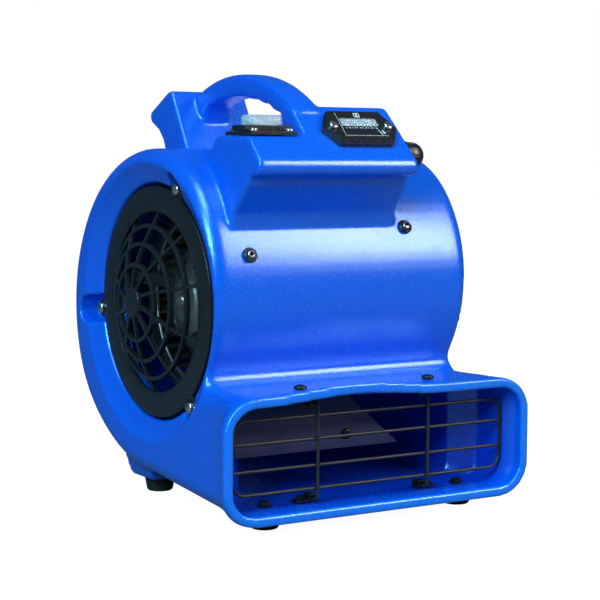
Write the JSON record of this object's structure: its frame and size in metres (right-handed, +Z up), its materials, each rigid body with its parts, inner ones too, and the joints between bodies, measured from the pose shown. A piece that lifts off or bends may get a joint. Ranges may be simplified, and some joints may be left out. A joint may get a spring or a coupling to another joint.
{
  "type": "air mover",
  "caption": "Small carpet-drying centrifugal blower: a round drum housing with domed side inlets, a wide flat outlet with a wire guard, a top handle, a switch and an hour meter.",
  "frame": {"origin": "centre of the bounding box's bottom face, on the floor under the machine", "axes": "+Z up; the outlet faces -Y; +X to the right seen from the outlet's side; the rotor's axis is parallel to X"},
  "size_m": [0.236, 0.2529, 0.288],
  "materials": {
    "housing_plastic": "glossy moulded blue plastic with a fine orange-peel texture",
    "black_plastic": "satin black moulded plastic",
    "bright_steel": "bright plated steel",
    "blackened_steel": "blackened steel",
    "rubber": "matt black rubber",
    "zinc_steel": "zinc-plated sheet steel",
    "black_painted_metal": "black paint on metal",
    "guard_wire": "dark coated steel wire",
    "grey_painted_metal": "grey painted sheet metal",
    "clear_plastic": "clear plastic",
    "white_plastic": "white moulded plastic"
  },
  "bodies": {
    "base": {"air_deflector": "grey_painted_metal", "bracket_screw_1": "zinc_steel", "bracket_screw_2": "zinc_steel", "bracket_screw_3": "zinc_steel", "cord_gland_body": "black_plastic", "cord_gland_locknut": "black_plastic", "cord_gland_nut": "black_plastic", "cup_washer_left": "black_plastic", "cup_washer_right": "black_plastic", "deflector_screw": "blackened_steel", "deflector_strap": "zinc_steel", "drum_screw_left": "bright_steel", "drum_screw_right": "bright_steel", "foot_bolt_front_left": "blackened_steel", "foot_bolt_front_right": "blackened_steel", "foot_bolt_rear_left": "blackened_steel", "foot_bolt_rear_right": "blackened_steel", "foot_front_left": "rubber", "foot_front_right": "rubber", "foot_rear_left": "rubber", "foot_rear_right": "rubber", "grille_screw_left_1": "bright_steel", "grille_screw_left_2": "bright_steel", "grille_screw_left_3": "bright_steel", "grille_screw_right_1": "bright_steel", "grille_screw_right_2": "bright_steel", "grille_screw_right_3": "bright_steel", "guard_clip_bottom_left": "blackened_steel", "guard_clip_bottom_right": "blackened_steel", "guard_clip_top_left": "blackened_steel", "guard_clip_top_right": "blackened_steel", "guard_screw_bottom_left": "blackened_steel", "guard_screw_bottom_right": "blackened_steel", "guard_screw_top_left": "blackened_steel", "guard_screw_top_right": "blackened_steel", "hour_meter_body": "black_plastic", "hour_meter_window": "clear_plastic", "housing": "housing_plastic", "inlet_grille_left": "black_plastic", "inlet_grille_right": "black_plastic", "meter_screw_left": "bright_steel", "meter_screw_right": "bright_steel", "motor_bearing_inner": "bright_steel", "motor_bearing_outer": "bright_steel", "motor_bell_inner": "zinc_steel", "motor_bell_outer": "zinc_steel", "motor_bracket": "black_painted_metal", "motor_stator": "zinc_steel", "outlet_guard": "guard_wire", "run_capacitor": "white_plastic", "switch_body": "black_plastic", "switch_boot": "clear_plastic", "switch_plate": "black_plastic", "switch_screw_1": "bright_steel", "switch_screw_2": "bright_steel", "switch_screw_3": "bright_steel", "switch_screw_4": "bright_steel"},
    "rotor": {"fan_wheel": "zinc_steel", "motor_shaft": "bright_steel"},
    "rocker": {"switch_rocker": "white_plastic"}
  },
  "joints": [
    {"name": "rotor_spin", "type": "hinge", "parent": "base", "child": "rotor", "pos_m": [0, 0.00785, 0.135], "axis": [1, 0, 0], "continuous": true},
    {"name": "switch_rock", "type": "hinge", "parent": "base", "child": "rocker", "pos_m": [-0.061, -0.07315, 0.251], "axis": [0, 1, 0], "range_deg": [-18, 0]}
  ]
}
